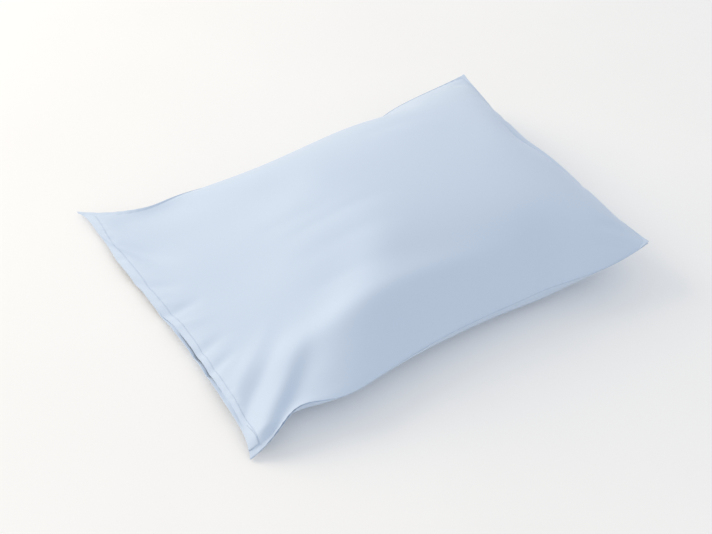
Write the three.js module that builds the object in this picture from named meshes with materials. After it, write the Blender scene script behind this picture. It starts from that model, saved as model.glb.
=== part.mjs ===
// A bed pillow in its pillowcase, lying on its back. Millimetres, +Z up.
// X runs along the case, with its open mouth at -X. Y runs across it.
// The origin is on the surface under it, below the middle of the case.
import * as THREE from "three";

// ---- Driving dimensions ------------------------------------------------------------

const CASE_LENGTH = 738; // from corner to corner along X, filled and lying
const CASE_WIDTH = 492; // from corner to corner along Y
const CASE_END_PULL = 16; // how far the closed end's middle draws in between its corners
const CASE_MOUTH_PULL = 9; // the same at the mouth
const CASE_SIDE_PULL = 22; // the same on each long side
const CROWN_HEIGHT = 145; // top of the filled case above the surface
const SEAM_RISE = 42; // height of the seams at the middle of a side
const CORNER_RISE = 20; // height of the seams at the closed corners
const MOUTH_RISE = 6; // height of the side seams at the mouth
const MOUTH_RAMP = 0.8; // share of half the length over which the case falls to its mouth
const LIP_OPENING = 13; // how far the two lips part at the middle of the mouth

const CASE_CLOTH = 1.4; // thickness kept for the case's cloth
const SEAM_GAP = 2.4; // between the two panels at their sewn edges
const ALLOWANCE_THICKNESS = 1.2; // of the turned-in seam allowances
const ALLOWANCE_INSET = 2; // from the panels' edges to the allowance
const ALLOWANCE_WIDTH = 8;
const HEM_WIDTH = 12; // of the turned hem around the mouth
const HEM_THICKNESS = 1;
const HEM_END_GAP = 16; // from the side seam to the end of each hem band
const STITCH_WIDTH = 1.2;
const STITCH_THICKNESS = 0.5;

const MOUTH_SLACK = 86; // empty case between the pillow and the mouth
const PILLOW_EDGE_CLEARANCE = 14; // between the pillow's edge and the case's, on three sides
const PILLOW_END_PULL = 13; // how far the pillow's far end draws in, towards the closed end
const PILLOW_MOUTH_PULL = 6; // the same at its end that faces the mouth
const PILLOW_FULLNESS = 5; // how squarely the pillow fills the case: the power of its edge profile
const TICKING = 1.2; // thickness kept for the ticking
const FIT = 1; // vertical clearance between the case and the ticking
const FILLING_FIT = 1.1; // vertical clearance between the ticking and the batts
const CORE_FIT = 0.9; // vertical clearance between the batts and the core
const WRAP_SHARE = 0.18; // of the depth of the filling, in each batt

const CLOSING_LENGTH = 160; // of the stitched-up filling hole
const CLOSING_INSET = 5;
const LABEL_LENGTH = 34;
const LABEL_WIDTH = 26;
const LABEL_THICKNESS = 0.5;
const LABEL_TUCK = 1; // how far the care label reaches into the seam that holds it
const SIZE_TAB_LENGTH = 22;
const SIZE_TAB_WIDTH = 16;

const SIDE_PROFILE = 2.3; // power of the crown's fall towards the long sides
const END_PROFILE = 3; // power of its fall towards the closed end
const CORNER_FULLNESS = 0.8; // power of both falls together: lower fills the corners more
const BELLY_DEPTH = 110; // depth of the underside before the surface flattens it
const SMALL_GAP = 0.3; // between a piece and what it is sewn to

const CELLS = { case: [22, 14], pillow: [20, 12] }; // along and across
const BATT_SKIP = 2; // cells between the pillow's edge and the edge of a batt
const CORE_SKIP = 3; // the same for the core
const EDGE_CROWDING = 0.75; // how far the cells crowd towards the edges, from 0 to 1

// ---- Colours -----------------------------------------------------------------------

/** A cloth-like standard material. */
function cloth(colour, roughness = 0.85) {
  return new THREE.MeshStandardMaterial({ color: colour, roughness, metalness: 0 });
}

const BLUE_COTTON = cloth(0xc3d2e4, 0.75);
const BLUE_THREAD = cloth(0xb6c8de);
const WHITE_TICKING = cloth(0xf1f2f2);
const WHITE_THREAD = cloth(0xffffff);
const FIBRE = cloth(0xf7f7f4, 0.95);
const LABEL_TAPE = cloth(0xfafafa, 0.6);

// ---- Outlines ----------------------------------------------------------------------

// A form is a four-cornered outline whose sides draw in between the corners. A place in it
// is (u, v): u from -1 at the mouth end to 1 at the closed end, v from -1 to 1 across.
const caseForm = {
  centre: 0,
  halfLength: CASE_LENGTH / 2,
  halfWidth: CASE_WIDTH / 2,
  mouthPull: CASE_MOUTH_PULL,
  endPull: CASE_END_PULL,
};

const PILLOW_LENGTH = CASE_LENGTH - MOUTH_SLACK - PILLOW_EDGE_CLEARANCE;
const pillowForm = {
  centre: caseForm.halfLength - PILLOW_EDGE_CLEARANCE - PILLOW_LENGTH / 2,
  halfLength: PILLOW_LENGTH / 2,
  halfWidth: caseForm.halfWidth - PILLOW_EDGE_CLEARANCE,
  mouthPull: PILLOW_MOUTH_PULL,
  endPull: PILLOW_END_PULL,
};

/** The same outline drawn in by a distance all round. */
function inset(form, distance) {
  return {
    ...form,
    halfLength: form.halfLength - distance,
    halfWidth: form.halfWidth - distance,
  };
}

/** Half a form's width at x: the long sides of both forms draw in alike. */
function halfWidthAt(form, x) {
  return form.halfWidth - CASE_SIDE_PULL * (1 - (x / caseForm.halfLength) ** 2);
}

/** Half a form's length at v, towards the end that u points to. */
function halfLengthAt(form, u, v) {
  return form.halfLength - (u > 0 ? form.endPull : form.mouthPull) * (1 - v * v);
}

/** Where (u, v) of a form lies on the surface, in millimetres. */
function placeOf(form, u, v) {
  const x = form.centre + u * halfLengthAt(form, u, v);
  return [x, v * halfWidthAt(form, x)];
}

/** The (u, v) of a place in a form: the inverse of placeOf. */
function placeIn(form, x, y) {
  const v = THREE.MathUtils.clamp(y / halfWidthAt(form, x), -1, 1);
  const fromCentre = x - form.centre;
  const u = fromCentre / halfLengthAt(form, fromCentre, v);
  return [THREE.MathUtils.clamp(u, -1, 1), v];
}

// ---- Heights -----------------------------------------------------------------------

/** 0 at the mouth, rising smoothly to 1 where the case is full. */
function fullness(u) {
  return THREE.MathUtils.smoothstep(u + 1, 0, MOUTH_RAMP);
}

/** Height of the plane of the seams: low at the mouth and the corners, high between them. */
function seamHeight(x, y) {
  const [u, v] = placeIn(caseForm, x, y);
  const full = CORNER_RISE + (SEAM_RISE - CORNER_RISE) * (1 - (u * v) ** 4);
  return MOUTH_RISE + (full - MOUTH_RISE) * fullness(u);
}

/** How high the crown stands at a place, from 0 at the edges to 1 at the middle. */
function crown(u, v) {
  const across = 1 - Math.abs(v) ** SIDE_PROFILE;
  const along = 1 - Math.max(u, 0) ** END_PROFILE;
  return (across * along) ** CORNER_FULLNESS * fullness(u);
}

/** Inner face of the case's upper panel. */
function caseRoof(x, y) {
  const [u, v] = placeIn(caseForm, x, y);
  const parted = LIP_OPENING * (1 - Math.abs(v) ** 3) * (1 - fullness(u));
  const above = CROWN_HEIGHT - CASE_CLOTH - SEAM_RISE - SEAM_GAP / 2;
  return seamHeight(x, y) + SEAM_GAP / 2 + parted + above * crown(u, v);
}

/** Inner face of the case's lower panel, which lies flat where it meets the surface. */
function caseFloor(x, y) {
  const [u, v] = placeIn(caseForm, x, y);
  const across = 1 - Math.abs(v) ** SIDE_PROFILE;
  const along = 1 - Math.max(u, 0) ** END_PROFILE;
  const belly = BELLY_DEPTH * (across * along) ** CORNER_FULLNESS;
  const hanging = seamHeight(x, y) - SEAM_GAP / 2 - belly;
  return Math.max(hanging, CASE_CLOTH);
}

/** How far the pillow fills the case at a place: 0 at the pillow's edge and 1 well inside. */
function filled(u, v) {
  return (1 - Math.abs(u) ** PILLOW_FULLNESS) * (1 - Math.abs(v) ** PILLOW_FULLNESS);
}

/**
 * Height of a layer's face above (side 1) or below (side -1) the plane of the seams.
 * depth is how far the face lies inside the ticking's inner face.
 */
function layerFace(side, x, y, depth, share = 1) {
  const seam = seamHeight(x, y);
  const wall = side > 0 ? caseRoof(x, y) - FIT : caseFloor(x, y) + FIT;
  const edge = SEAM_GAP / 2 + TICKING;
  const room = Math.abs(wall - seam) - edge;
  const outside = edge + room * filled(...placeIn(pillowForm, x, y));
  return seam + side * (outside - TICKING - depth) * share;
}

// ---- Pieces ------------------------------------------------------------------------

const pillowcase = new THREE.Group();
const pillow = new THREE.Group();

/** Names a geometry's mesh and adds it to a group. */
function add(group, name, geometry, material) {
  const mesh = new THREE.Mesh(geometry, material);
  mesh.name = name;
  group.add(mesh);
}

/** Moves every point of a geometry, and works its normals out again. */
function bend(geometry, move) {
  const points = geometry.getAttribute("position");
  for (let i = 0; i < points.count; i += 1) {
    points.setXYZ(i, ...move(points.getX(i), points.getY(i), points.getZ(i)));
  }
  geometry.computeVertexNormals();
  return geometry;
}

/** From low to high as t goes from 0 to 1, in smaller steps near both ends. */
function spread(low, high, t) {
  const eased = THREE.MathUtils.lerp(2 * t - 1, Math.sin(Math.PI * (t - 0.5)), EDGE_CROWDING);
  return THREE.MathUtils.lerp(low, high, (eased + 1) / 2);
}

/** A box of cells whose underside has the same diagonals as its top, so that both bend alike. */
function cellBox(along, across) {
  const box = new THREE.BoxGeometry(1, 1, 1, along, across, 1);
  const underside = box.groups[5];
  for (let i = underside.start; i < underside.start + underside.count; i += 6) {
    const [a, b, d, , c] = box.index.array.slice(i, i + 6);
    box.index.array.set([a, b, c, a, c, d], i);
  }
  return box;
}

/**
 * A closed layer over a form: a box of cells, whose upper face takes the height upper(x, y)
 * and whose lower face takes lower(x, y). skip is how many cells it leaves bare at each edge.
 */
function layer(form, cells, lower, upper, skip = 0) {
  const [along, across] = cells.map((count) => count - 2 * skip);
  return bend(cellBox(along, across), (i, j, k) => {
    const u = spread(-1, 1, (skip + (i + 0.5) * along) / cells[0]);
    const v = spread(-1, 1, (skip + (j + 0.5) * across) / cells[1]);
    const [x, y] = placeOf(form, u, v);
    return [x, y, k > 0 ? upper(x, y) : lower(x, y)];
  });
}

/**
 * A thin strip, tape or line of stitches that lies on a face, a gap above it.
 * over is the part of the form that it covers, as [lowest u, highest u, lowest v, highest v].
 */
function strip(form, cells, over, face, gap, thickness) {
  return bend(cellBox(cells[0], cells[1]), (i, j, k) => {
    const u = THREE.MathUtils.lerp(over[0], over[1], i + 0.5);
    const v = spread(over[2], over[3], j + 0.5);
    const [x, y] = placeOf(form, u, v);
    return [x, y, face(x, y) + gap + thickness * (k + 0.5)];
  });
}

/** The (u, v) of each step along a route of corners, in the same cells as the panels. */
function stepsAlong(route, cells) {
  const steps = [route[0]];
  for (let c = 0; c + 1 < route.length; c += 1) {
    const [from, to] = [route[c], route[c + 1]];
    const count = from[1] === to[1] ? cells[0] : cells[1];
    for (let i = 1; i <= count; i += 1) {
      steps.push([spread(from[0], to[0], i / count), spread(from[1], to[1], i / count)]);
    }
  }
  return steps;
}

/** A corner of an allowance's section: how far in from the form's edge, and k above the seams. */
function allowancePoint(form, [u, v], isInner, k) {
  const distance = ALLOWANCE_INSET + (isInner ? ALLOWANCE_WIDTH : 0);
  const [x, y] = placeOf(inset(form, distance), u, v);
  return [x, y, seamHeight(x, y) + k * ALLOWANCE_THICKNESS];
}

/** A flat strip of seam allowance along a route that doesn't close. */
function allowanceStrip(form, route, cells) {
  const steps = stepsAlong(route, cells);
  const count = steps.length - 1;
  return bend(new THREE.BoxGeometry(1, 1, 1, count, 1, 1), (i, j, k) => {
    const step = steps[Math.round((i + 0.5) * count)];
    return allowancePoint(form, step, j > 0, k);
  });
}

/** The same along a route that comes back to its start: a ring of rectangular section. */
function allowanceRing(form, route, cells) {
  const steps = stepsAlong(route, cells);
  const count = steps.length - 1;
  const section = [[2, -0.5], [2, 0.5], [1, 0.5], [1, -0.5], [2, -0.5]];
  const profile = section.map(([radius, k]) => new THREE.Vector2(radius, k));
  return bend(new THREE.LatheGeometry(profile, count), (x, k, z) => {
    const turn = (Math.atan2(x, z) / (2 * Math.PI) + 1) % 1;
    const step = steps[Math.round(turn * count) % count];
    return allowancePoint(form, step, Math.hypot(x, z) < 1.5, k);
  });
}

/** The case: two panels, their seam allowance, and the turned hem around the mouth. */
function makeCase() {
  const top = layer(caseForm, CELLS.case, caseRoof, (x, y) => caseRoof(x, y) + CASE_CLOTH);
  add(pillowcase, "case_top_panel", top, BLUE_COTTON);
  const bottom = layer(caseForm, CELLS.case, (x, y) => caseFloor(x, y) - CASE_CLOTH, caseFloor);
  add(pillowcase, "case_bottom_panel", bottom, BLUE_COTTON);

  // The allowance runs up one long side, across the closed end and back down the other.
  const start = -1 + (2 * HEM_WIDTH) / CASE_LENGTH;
  const route = [[start, -1], [1, -1], [1, 1], [start, 1]];
  const allowance = allowanceStrip(caseForm, route, CELLS.case);
  add(pillowcase, "case_seam_allowance", allowance, BLUE_THREAD);
}

/** The part of the case's form between two distances from the mouth, clear of the side seams. */
function mouthStrip(from, to) {
  const across = 1 - HEM_END_GAP / caseForm.halfWidth;
  return [-1 + from / caseForm.halfLength, -1 + to / caseForm.halfLength, -across, across];
}

/** The hem: each lip's cloth turned to the inside and stitched down near its inner edge. */
function makeMouthHem() {
  const cells = [1, CELLS.case[1]];
  const band = mouthStrip(0, HEM_WIDTH);
  const line = mouthStrip(HEM_WIDTH - 2 * STITCH_WIDTH, HEM_WIDTH - STITCH_WIDTH);
  const pieces = [
    ["mouth_hem_top", band, caseRoof, -SMALL_GAP - HEM_THICKNESS, HEM_THICKNESS, BLUE_COTTON],
    ["mouth_hem_bottom", band, caseFloor, SMALL_GAP, HEM_THICKNESS, BLUE_COTTON],
    ["hem_stitching_top", line, caseRoof, CASE_CLOTH + SMALL_GAP, STITCH_THICKNESS, BLUE_THREAD],
    [
      "hem_stitching_bottom",
      line,
      caseFloor,
      2 * SMALL_GAP + HEM_THICKNESS,
      STITCH_THICKNESS,
      BLUE_THREAD,
    ],
  ];
  for (const [name, over, face, gap, thickness, material] of pieces) {
    add(pillowcase, name, strip(caseForm, cells, over, face, gap, thickness), material);
  }
}

/** A blank woven size tab on the lower panel, behind the hem and beside the side seam. */
function makeSizeTab() {
  const near = HEM_WIDTH + SMALL_GAP;
  const [from, to, low] = mouthStrip(near, near + SIZE_TAB_LENGTH);
  const over = [from, to, low, low + SIZE_TAB_WIDTH / caseForm.halfWidth];
  const tab = strip(caseForm, [2, 2], over, caseFloor, SMALL_GAP, LABEL_THICKNESS);
  add(pillowcase, "size_tab", tab, LABEL_TAPE);
}

/** The ticking: two panels sewn all round, and the seam allowance inside them. */
function makeTicking() {
  for (const [name, side] of [["ticking_top", 1], ["ticking_bottom", -1]]) {
    const outer = (x, y) => layerFace(side, x, y, -TICKING);
    const inner = (x, y) => layerFace(side, x, y, 0);
    const faces = side > 0 ? [inner, outer] : [outer, inner];
    add(pillow, name, layer(pillowForm, CELLS.pillow, ...faces), WHITE_TICKING);
  }
  const route = [[-1, -1], [1, -1], [1, 1], [-1, 1], [-1, -1]];
  const allowance = allowanceRing(pillowForm, route, CELLS.pillow);
  add(pillow, "ticking_seam_allowance", allowance, WHITE_THREAD);
}

/** The filling: a core of loose fibre between two thin batts. */
function makeFilling() {
  const keep = 1 - WRAP_SHARE;
  for (const [name, side] of [["fibre_batt_top", 1], ["fibre_batt_bottom", -1]]) {
    const outer = (x, y) => layerFace(side, x, y, FILLING_FIT);
    const inner = (x, y) => layerFace(side, x, y, FILLING_FIT, keep);
    const faces = side > 0 ? [inner, outer] : [outer, inner];
    add(pillow, name, layer(pillowForm, CELLS.pillow, ...faces, BATT_SKIP), FIBRE);
  }
  const face = (side) => (x, y) => {
    return layerFace(side, x, y, FILLING_FIT, keep) - side * CORE_FIT;
  };
  const core = layer(pillowForm, CELLS.pillow, face(-1), face(1), CORE_SKIP);
  add(pillow, "fibre_core", core, FIBRE);
}

/** The line of stitches that closes the filling hole, at the end that faces the mouth. */
function makeClosing() {
  const from = -1 + CLOSING_INSET / pillowForm.halfLength;
  const to = from + STITCH_WIDTH / pillowForm.halfLength;
  const reach = CLOSING_LENGTH / 2 / pillowForm.halfWidth;
  const over = [from, to, -reach, reach];
  const outside = (x, y) => layerFace(1, x, y, -TICKING);
  const line = strip(pillowForm, [1, 6], over, outside, 2 * SMALL_GAP, STITCH_THICKNESS);
  add(pillow, "closing_stitches", line, WHITE_THREAD);
}

/** A blank care label, sewn in at the same end and hanging to the lower panel. */
function makeCareLabel() {
  const side = 0.7; // place across the pillow
  const [seamX, y] = placeOf(pillowForm, -1, side);
  const start = seamX + LABEL_TUCK;
  const top = seamHeight(seamX, y);
  const foot = caseFloor(start - LABEL_LENGTH, y) + FIT;
  const strip = new THREE.BoxGeometry(1, LABEL_WIDTH, LABEL_THICKNESS, 6, 1, 1);
  const label = bend(strip, (i, j, k) => {
    const reach = 0.5 - i;
    const fall = THREE.MathUtils.smoothstep(reach, 0, 1);
    return [
      start - LABEL_LENGTH * reach,
      y + j,
      THREE.MathUtils.lerp(top, foot, fall) + k + LABEL_THICKNESS / 2,
    ];
  });
  add(pillow, "care_label", label, LABEL_TAPE);
}

makeCase();
makeMouthHem();
makeSizeTab();
makeTicking();
makeFilling();
makeClosing();
makeCareLabel();

const part = new THREE.Group();
part.add(pillowcase, pillow);

export default part;
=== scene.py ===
# %% [markdown]
# # A bed pillow in its pillowcase
#
# The model is a soft pillow inside a plain pale blue cotton pillowcase, lying on its back.
# The fixed frame holds its sizes, its bodies and the slide by which the pillow leaves the case.
# Every soft piece here is new and stands for a plain solid of that frame.
# Lengths are in metres. X runs along the case with the open mouth at -X, Y across it, Z up.

import math

import bpy
import numpy as np
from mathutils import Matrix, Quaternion, Vector


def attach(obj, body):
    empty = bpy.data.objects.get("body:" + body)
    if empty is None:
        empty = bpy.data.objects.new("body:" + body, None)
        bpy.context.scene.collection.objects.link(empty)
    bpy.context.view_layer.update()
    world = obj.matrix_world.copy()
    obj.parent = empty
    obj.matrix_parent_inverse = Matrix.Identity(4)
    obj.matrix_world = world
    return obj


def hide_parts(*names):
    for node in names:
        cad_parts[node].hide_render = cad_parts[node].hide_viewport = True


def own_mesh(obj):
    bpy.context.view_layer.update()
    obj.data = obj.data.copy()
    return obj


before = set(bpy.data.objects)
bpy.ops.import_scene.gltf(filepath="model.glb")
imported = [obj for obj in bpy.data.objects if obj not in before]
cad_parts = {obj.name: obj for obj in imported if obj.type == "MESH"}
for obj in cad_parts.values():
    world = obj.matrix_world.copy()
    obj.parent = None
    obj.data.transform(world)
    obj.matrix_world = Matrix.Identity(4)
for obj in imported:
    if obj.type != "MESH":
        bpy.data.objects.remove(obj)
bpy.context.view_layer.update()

# %% [markdown]
# ## Cloth sizes
#
# A pillowcase is cut and sewn flat, so its size is that of the flat cloth, and filling it draws
# the outline in. A standard case is 20 by 30 inches and a standard pillow is 20 by 26 inches.
# Every place on a panel is named by where it lies in that flat cloth, so seams, hems and threads
# follow the cloth wherever it goes.

# %% Sizes of the flat cloths
INCH = 0.0254
CASE_FLAT = (20 * INCH, 30 * INCH)
PILLOW_FLAT = (20 * INCH, 26 * INCH)
CASE_PLY = 0.00035
TICKING_PLY = 0.0004
HALF_LENGTH = CASE_FLAT[1] / 2
HALF_WIDTH = CASE_FLAT[0] / 2
print("flat case", CASE_FLAT, "flat pillow", PILLOW_FLAT)

# %% [markdown]
# ## Camera, floor and light
#
# The camera stands off the near corner of the mouth and looks down on the pillow, a little
# rolled. The floor is a plain pale sheet. One large warm lamp stands off the far corner of the
# mouth, so that the near slope and the closed end lie in shade, and a pale cool sky fills the rest.
# The camera's values come from a fit as well, so they aren't round.

# %% Camera
VIEW_ELEVATION = math.radians(43.44)
VIEW_AZIMUTH = math.radians(-41.01)
VIEW_ROLL = math.radians(9.92)
VIEW_DISTANCE = 1.5536
VIEW_AIM = Vector((-0.0393, -0.0267, -0.003))
SENSOR_WIDTH = 36.0
FOCAL_LENGTH = 53.05

scene = bpy.context.scene


def place_camera():
    """A camera on a ray from the aim, turned to look back along it and rolled about it."""
    level = math.cos(VIEW_ELEVATION)
    out, aside = math.cos(VIEW_AZIMUTH), math.sin(VIEW_AZIMUTH)
    ray = Vector((aside * level, -out * level, math.sin(VIEW_ELEVATION)))
    data = bpy.data.cameras.new("camera")
    data.sensor_width = SENSOR_WIDTH
    data.lens = FOCAL_LENGTH
    camera = bpy.data.objects.new("camera", data)
    scene.collection.objects.link(camera)
    camera.location = VIEW_AIM + VIEW_DISTANCE * ray
    camera.rotation_mode = "QUATERNION"
    upright = (-ray).to_track_quat("-Z", "Y")
    camera.rotation_quaternion = upright @ Quaternion((0, 0, 1), VIEW_ROLL)
    scene.camera = camera
    return camera


camera = place_camera()
print("camera at", [round(x, 3) for x in camera.location])


# %% Lamp and sky
LAMP_PLACE = Vector((-2.4, 2.7, 1.8))
LAMP_AIM = Vector((0, 0, 0.05))
LAMP_SIZE = 2.4
LAMP_POWER = 88.0
LAMP_COLOUR = (1.0, 0.86, 0.66)
SKY_COLOUR = (0.94, 0.965, 1.0, 1.0)
SKY_STRENGTH = 0.83


def place_lamp():
    """A square area lamp that faces the middle of the pillow."""
    data = bpy.data.lights.new("key_lamp", "AREA")
    data.size = LAMP_SIZE
    data.energy = LAMP_POWER
    data.color = LAMP_COLOUR
    lamp = bpy.data.objects.new("key_lamp", data)
    scene.collection.objects.link(lamp)
    lamp.location = LAMP_PLACE
    lamp.rotation_mode = "QUATERNION"
    lamp.rotation_quaternion = (LAMP_AIM - LAMP_PLACE).to_track_quat("-Z", "Y")


def make_sky():
    """An even pale sky all round."""
    sky = bpy.data.worlds.new("sky")
    sky.use_nodes = True
    background = sky.node_tree.nodes["Background"]
    background.inputs["Color"].default_value = SKY_COLOUR
    background.inputs["Strength"].default_value = SKY_STRENGTH
    scene.world = sky


place_lamp()
make_sky()
scene.view_settings.view_transform = "Standard"

# %% [markdown]
# ## Shader arithmetic
#
# A finish is a little program in nodes. Writing it as sums is easier to read than placing nodes
# by hand, so one small class wraps a socket and adds a Math node for each operator. A second
# one holds the material and makes any other node from its type, settings and inputs.


# %% Numbers and materials as nodes
class Number:
    """A socket that holds a number. Arithmetic on it adds Math nodes to its material."""

    def __init__(self, finish, socket):
        self.finish = finish
        self.socket = socket

    def _math(self, operation, *values):
        return self.finish.number("ShaderNodeMath", dict(enumerate(values)), operation=operation)

    def __add__(self, other):
        return self._math("ADD", self, other)

    def __radd__(self, other):
        return self._math("ADD", other, self)

    def __sub__(self, other):
        return self._math("SUBTRACT", self, other)

    def __mul__(self, other):
        return self._math("MULTIPLY", self, other)

    def sine(self):
        """The sine of a number in radians."""
        return self._math("SINE", self)

    def step(self, low, high):
        """0 below low and 1 above high, with a smooth rise between."""
        inputs = {"Value": self, "From Min": low, "From Max": high}
        return self.finish.number("ShaderNodeMapRange", inputs, interpolation_type="SMOOTHSTEP")


class Finish:
    """A material with a Principled shader, and the means to add nodes to it."""

    def __init__(self, name, **constants):
        self.material = bpy.data.materials.new(name)
        self.material.use_nodes = True
        self.nodes = self.material.node_tree.nodes
        self.links = self.material.node_tree.links
        self.shader = self.nodes["Principled BSDF"]
        for socket, value in constants.items():
            self.shader.inputs[socket.replace("_", " ")].default_value = value

    def node(self, kind, inputs=None, **settings):
        """A node of a kind. Settings go first, then values or links into its sockets."""
        made = self.nodes.new(kind)
        for name, value in settings.items():
            setattr(made, name, value)
        for socket, value in (inputs or {}).items():
            self.feed(made.inputs[socket], value)
        return made

    def feed(self, socket, value):
        """Links a number or a socket, or sets a plain value."""
        if isinstance(value, Number):
            value = value.socket
        if isinstance(value, bpy.types.NodeSocket):
            self.links.new(value, socket)
        else:
            socket.default_value = value

    def number(self, kind, inputs, **settings):
        """The number that a new node gives out."""
        return Number(self, self.node(kind, inputs, **settings).outputs[0])

    def mix(self, share, first, second):
        """A colour between two, by a share."""
        inputs = {0: share, 6: first, 7: second}
        return self.node("ShaderNodeMix", inputs, data_type="RGBA").outputs[2]

    def cloth_place(self):
        """Where a point lies in the flat cloth: its two lengths in metres, and both as a vector."""
        place = self.node("ShaderNodeUVMap", uv_map=FLAT_MAP).outputs["UV"]
        return *self.parts(place), place

    def parts(self, place):
        """The first two numbers of a vector."""
        outputs = self.node("ShaderNodeSeparateXYZ", {0: place}).outputs
        return Number(self, outputs[0]), Number(self, outputs[1])

    def noise(self, place, scale, stretch=(1, 1, 1), detail=2.0):
        """Soft noise, with features 1 / scale metres wide, drawn out by stretch."""
        mapped = self.node("ShaderNodeMapping", {"Vector": place, "Scale": stretch}).outputs[0]
        inputs = {"Vector": mapped, "Scale": scale, "Detail": detail}
        return self.number("ShaderNodeTexNoise", inputs)

    def surface(self, colour, roughness, height=None, depth=0.0, strength=0.5):
        """Feeds what varies over the piece into the shader. Heights count in depths, in metres."""
        self.feed(self.shader.inputs["Base Color"], colour)
        self.feed(self.shader.inputs["Roughness"], roughness)
        if height is not None:
            inputs = {"Height": height, "Distance": depth, "Strength": strength}
            bump = self.node("ShaderNodeBump", inputs)
            self.feed(self.shader.inputs["Normal"], bump.outputs[0])
        return self.material


FLAT_MAP = "flat_cloth"
TURN = 2 * math.pi
print("shader helpers ready")

# %% [markdown]
# ## Cotton, ticking, fibre and tape
#
# The case is a fine percale: a plain weave of about three threads to a millimetre, with a few
# thicker threads, or slubs, running both ways. The colour hardly varies, and a faint sheen of
# loose fibre ends lightens it where the cloth turns away. The ticking is a denser white cotton
# with thin blue stripes along its length. The weave is read from the flat cloth, so it turns and
# bends with each panel.


# %% The woven finishes
def weave(along, across, pitch):
    """Height of a plain weave: warp and weft waves that take turns on top, from 0 to 1."""
    warp = (along * (TURN / (2 * pitch))).sine()
    weft = (across * (TURN / (2 * pitch))).sine()
    return warp * weft * 0.5 + 0.5


def percale(name, pale, deep, pitch, slub_depth, **constants):
    """Plain-woven cotton: weave and slubs as bump, with slubs and soft clouds in its colour."""
    finish = Finish(name, **constants)
    along, across, place = finish.cloth_place()
    warp_slubs = finish.noise(place, 60.0, (1.0, 26.0, 1.0), 3.0)
    weft_slubs = finish.noise(place, 60.0, (26.0, 1.0, 1.0), 3.0)
    clouds = finish.noise(place, 7.0)
    threads = weave(along, across, pitch)
    tone = warp_slubs * 0.4 + weft_slubs * 0.4 + clouds * 0.5 - 0.15
    colour = finish.mix(tone, deep, pale)
    roughness = 0.66 + warp_slubs * 0.14
    height = threads * 0.35 + (warp_slubs + weft_slubs) * slub_depth
    return finish, across, colour, roughness, height


def case_cotton():
    """Pale blue percale, with the faint sheen of loose fibre ends."""
    finish, _, colour, roughness, height = percale(
        "case_cotton",
        pale=(0.585, 0.680, 0.815, 1),
        deep=(0.545, 0.643, 0.785, 1),
        pitch=0.0003,
        slub_depth=0.8,
        Sheen_Weight=0.22,
        Sheen_Roughness=0.45,
        Sheen_Tint=(0.93, 0.96, 1.0, 1.0),
        Specular_IOR_Level=0.3,
    )
    return finish.surface(colour, roughness, height, depth=0.00012)


STRIPE_SPACING = 0.018
STRIPE_EDGES = (0.93, 0.985)
FINE_STRIPE_EDGES = (0.985, 0.998)
FINE_STRIPE_SHIFT = 0.75
STRIPE_BLUE = (0.28, 0.38, 0.56, 1)


def ticking_cotton():
    """White ticking. Each stripe is the top of a sine across the cloth, with a finer one beside."""
    finish, across, white, roughness, height = percale(
        "ticking_cotton",
        pale=(0.90, 0.90, 0.89, 1),
        deep=(0.83, 0.835, 0.84, 1),
        pitch=0.00035,
        slub_depth=0.7,
        Sheen_Weight=0.15,
        Specular_IOR_Level=0.25,
    )
    turns = across * (TURN / STRIPE_SPACING)
    stripe = turns.sine().step(*STRIPE_EDGES)
    fine = (turns + FINE_STRIPE_SHIFT).sine().step(*FINE_STRIPE_EDGES)
    colour = finish.mix(stripe * 0.6 + fine * 0.5, white, STRIPE_BLUE)
    return finish.surface(colour, roughness, height, depth=0.00015)


COTTON = case_cotton()
TICKING = ticking_cotton()
print("woven finishes", COTTON.name, TICKING.name)


# %% Thread, fibre and tape
TWIST_PITCH = 0.00035
RIB_PITCH = 0.0005


def thread(name, colour, shade):
    """Twisted sewing thread: fine slanting ridges, and a small change of shade."""
    finish = Finish(name, Sheen_Weight=0.2, Specular_IOR_Level=0.35)
    place = finish.node("ShaderNodeTexCoord").outputs["Object"]
    x, y = finish.parts(place)
    twist = ((x + y) * (TURN / TWIST_PITCH)).sine() * 0.5 + 0.5
    tone = finish.noise(place, 500.0)
    return finish.surface(finish.mix(tone, shade, colour), 0.6 + tone * 0.15, twist, depth=0.0001)


def fibre():
    """Carded polyester: tangled strands at two sizes, over soft lumps."""
    finish = Finish("polyester_fibre", Sheen_Weight=0.5, Sheen_Roughness=0.6, Specular_IOR_Level=0.2)
    place = finish.node("ShaderNodeTexCoord").outputs["Object"]
    strands = finish.noise(place, 900.0, (1, 3, 6), 4.0)
    crossing = finish.noise(place, 700.0, (4, 1, 5), 4.0)
    lumps = finish.noise(place, 30.0, detail=3.0)
    tone = strands * 0.4 + crossing * 0.4 + lumps * 0.3 - 0.05
    colour = finish.mix(tone, (0.78, 0.78, 0.76, 1), (0.93, 0.93, 0.91, 1))
    height = strands * 0.5 + crossing * 0.5 + lumps
    return finish.surface(colour, 0.9 + tone * 0.08, height, depth=0.002, strength=0.8)


def tape():
    """Blank satin-woven tape: fine ribs across it, and a faint streaky shade."""
    finish = Finish("label_tape", Sheen_Weight=0.1, Specular_IOR_Level=0.45)
    along, _, place = finish.cloth_place()
    ribs = (along * (TURN / RIB_PITCH)).sine() * 0.5 + 0.5
    tone = finish.noise(place, 900.0, (1, 5, 1))
    colour = finish.mix(tone, (0.84, 0.85, 0.86, 1), (0.92, 0.92, 0.92, 1))
    return finish.surface(colour, 0.42 + tone * 0.16, ribs, depth=0.0001)


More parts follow.
